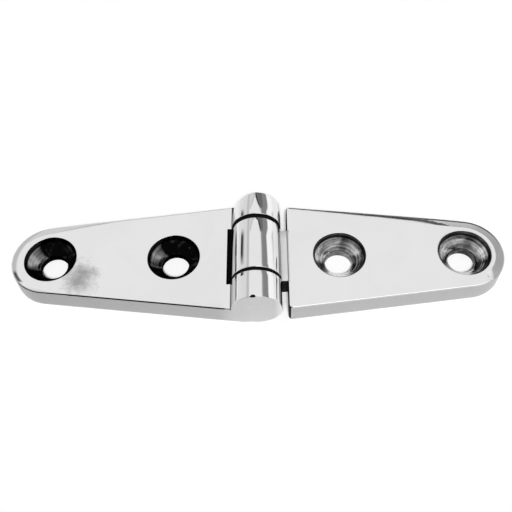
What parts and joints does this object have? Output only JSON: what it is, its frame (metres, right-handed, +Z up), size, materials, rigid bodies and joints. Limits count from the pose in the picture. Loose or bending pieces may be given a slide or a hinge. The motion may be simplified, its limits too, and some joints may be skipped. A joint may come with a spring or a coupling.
{
  "type": "strap hinge",
  "caption": "Cast strap hinge: tapered leaves with round tips and countersunk screw holes, turning on a pin through an interlocking barrel.",
  "frame": {"origin": "on the underside of the opened-out hinge, directly below the pin's axis and midway along the barrel", "axes": "+X from the barrel along the right leaf, +Y along the pin towards the end the pin goes in from, +Z up out of the countersunk faces"},
  "size_m": [0.104, 0.0264, 0.0104],
  "materials": {
    "leaf_steel": "mirror-polished cast stainless steel with faint polishing waves",
    "pin_steel": "ground stainless steel",
    "washer_plastic": "matte black nylon"
  },
  "bodies": {
    "left_side": {"left_leaf": "leaf_steel", "hinge_pin": "pin_steel", "washer_near": "washer_plastic", "washer_far": "washer_plastic"},
    "right_side": {"right_leaf": "leaf_steel"}
  },
  "joints": [
    {"name": "leaf_hinge", "type": "hinge", "parent": "left_side", "child": "right_side", "pos_m": [0, 0, 0.0052], "axis": [0, -1, 0], "range_deg": [-70, 180]}
  ]
}
